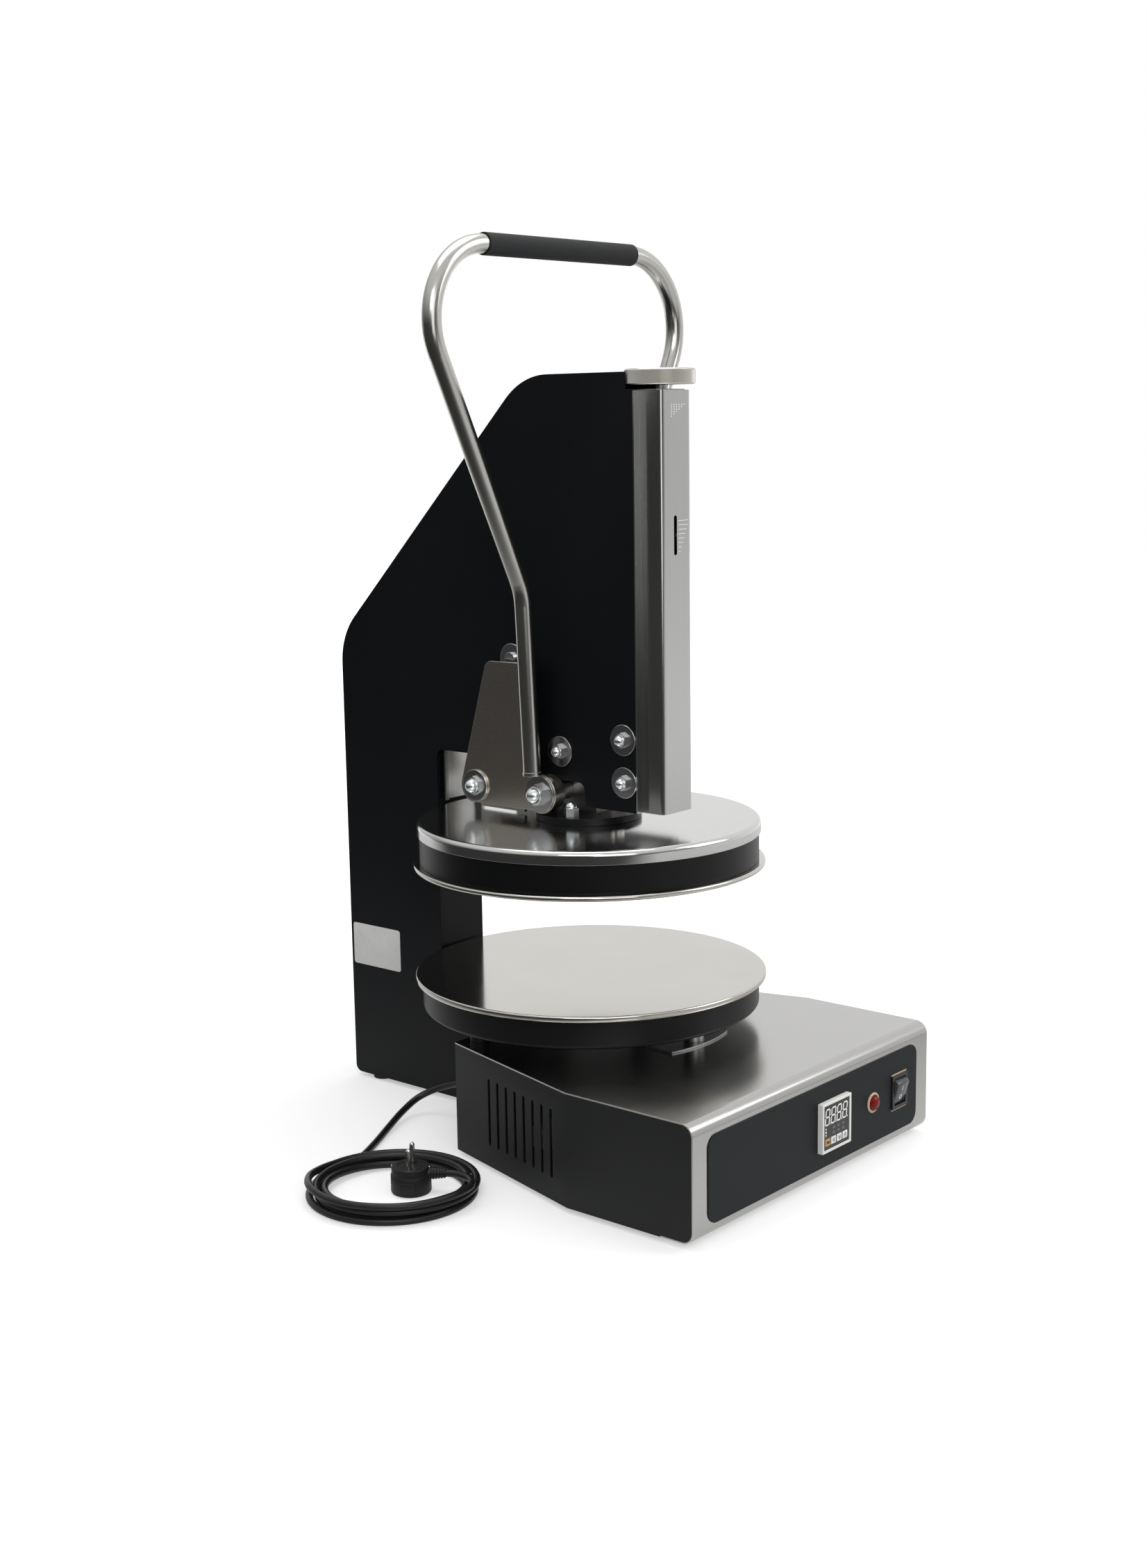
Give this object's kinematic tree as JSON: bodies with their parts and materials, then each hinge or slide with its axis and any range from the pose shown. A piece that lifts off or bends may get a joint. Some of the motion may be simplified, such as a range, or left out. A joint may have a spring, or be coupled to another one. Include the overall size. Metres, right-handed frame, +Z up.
{
  "type": "pizza dough press",
  "caption": "Heated bench press for pizza dough: a hand lever on a C-shaped stand lowers a round upper plate onto a lower one, over a base with a control panel.",
  "frame": {"origin": "on the floor under the middle of the press's box, without the mains lead", "axes": "+Z up, the control panel faces -Y, +X to the operator's right"},
  "size_m": [0.5315, 0.5936, 0.877],
  "materials": {
    "stainless": "brushed",
    "black_paint": "satin",
    "panel_paint": "satin",
    "plate_metal": "satin",
    "polished": "polished",
    "zinc": "zinc plated",
    "crank_metal": "brushed",
    "machined": "machined",
    "guide_metal": "machined",
    "knurled_steel": "knurled",
    "brass": "machined",
    "heater": "matte",
    "grip_rubber": "matte",
    "cord_rubber": "matte",
    "black_plastic": "matte",
    "control_plastic": "satin",
    "key_white": "satin",
    "key_amber": "satin",
    "lamp_rim": "satin",
    "lamp_red": "gloss",
    "ceramic": "matte",
    "pin_metal": "plated"
  },
  "bodies": {
    "frame": {"base_cover": "stainless", "head_cover": "stainless", "fulcrum_bracket": "stainless", "base_side_left": "black_paint", "base_side_right": "black_paint", "base_rear_wall": "black_paint", "base_floor": "black_paint", "column_side_left": "black_paint", "column_side_right": "black_paint", "column_cover": "black_paint", "spine_plate": "black_paint", "lower_pan": "black_paint", "gas_cylinder": "black_paint", "control_plate": "panel_paint", "lower_disc": "plate_metal", "head_washers": "zinc", "head_nuts": "zinc", "bracket_screws": "zinc", "pan_posts": "zinc", "screw_bearing": "machined", "lower_guide": "guide_metal", "upper_guide": "guide_metal", "lower_heater": "heater", "feet": "grip_rubber", "cord_lead": "cord_rubber", "cord_coil": "cord_rubber", "switch_bezel": "black_plastic", "cord_gland": "black_plastic", "plug_body": "black_plastic", "controller": "control_plastic", "lamp_ring": "lamp_rim", "lamp_lens": "lamp_red", "terminal_block": "ceramic", "plug_pins": "pin_metal"},
    "ram": {"ram_bar": "machined", "puck": "black_paint", "puck_nuts": "zinc", "upper_cap": "polished", "upper_band": "black_paint", "upper_disc": "plate_metal", "upper_heater": "heater", "gas_rod": "polished"},
    "lever": {"handle_tube": "polished", "handle_grip": "grip_rubber", "crank_left": "crank_metal", "crank_right": "crank_metal", "shaft_a": "polished", "shaft_b": "polished", "pivot_bushes": "zinc", "washers_a": "zinc", "washers_b": "zinc", "pivot_nuts": "zinc"},
    "wheel": {"thickness_wheel": "knurled_steel", "thickness_screw": "machined"},
    "stop": {"stop_nut": "brass"},
    "rocker": {"switch_rocker": "black_plastic"},
    "key_mode": {"key_mode": "key_amber"},
    "key_left": {"key_left": "key_white"},
    "key_down": {"key_down": "key_white"},
    "key_up": {"key_up": "key_white"}
  },
  "joints": [
    {"name": "ram_slide", "type": "slide", "parent": "frame", "child": "ram", "axis": [0, 0, 1], "range_m": [-0.104, 0], "stiffness_N_per_m": 200, "springref_m": 0.8},
    {"name": "lever_swing", "type": "hinge", "parent": "ram", "child": "lever", "pos_m": [0, 0.00275, 0.3485], "axis": [1, 0, 0], "range_deg": [0, 75]},
    {"name": "wheel_turn", "type": "hinge", "parent": "frame", "child": "wheel", "pos_m": [0, -0.11025, 0.745], "axis": [0, 0, 1], "range_deg": [0, 1080]},
    {"name": "stop_slide", "type": "slide", "parent": "frame", "child": "stop", "axis": [0, 0, 1], "range_m": [-0.024, 0]},
    {"name": "rocker_tilt", "type": "hinge", "parent": "frame", "child": "rocker", "pos_m": [0.1385, -0.28775, 0.058], "axis": [1, 0, 0], "range_deg": [-20, 0]},
    {"name": "key_mode_press", "type": "slide", "parent": "frame", "child": "key_mode", "axis": [0, 1, 0], "range_m": [0, 0.001], "stiffness_N_per_m": 300},
    {"name": "key_left_press", "type": "slide", "parent": "frame", "child": "key_left", "axis": [0, 1, 0], "range_m": [0, 0.001], "stiffness_N_per_m": 300},
    {"name": "key_down_press", "type": "slide", "parent": "frame", "child": "key_down", "axis": [0, 1, 0], "range_m": [0, 0.001], "stiffness_N_per_m": 300},
    {"name": "key_up_press", "type": "slide", "parent": "frame", "child": "key_up", "axis": [0, 1, 0], "range_m": [0, 0.001], "stiffness_N_per_m": 300}
  ],
  "couplings": [
    {"joint": "lever_swing", "follows": "ram_slide", "rad_per_m": -12.586},
    {"joint": "stop_slide", "follows": "wheel_turn", "m_per_rad": -0.001273}
  ]
}
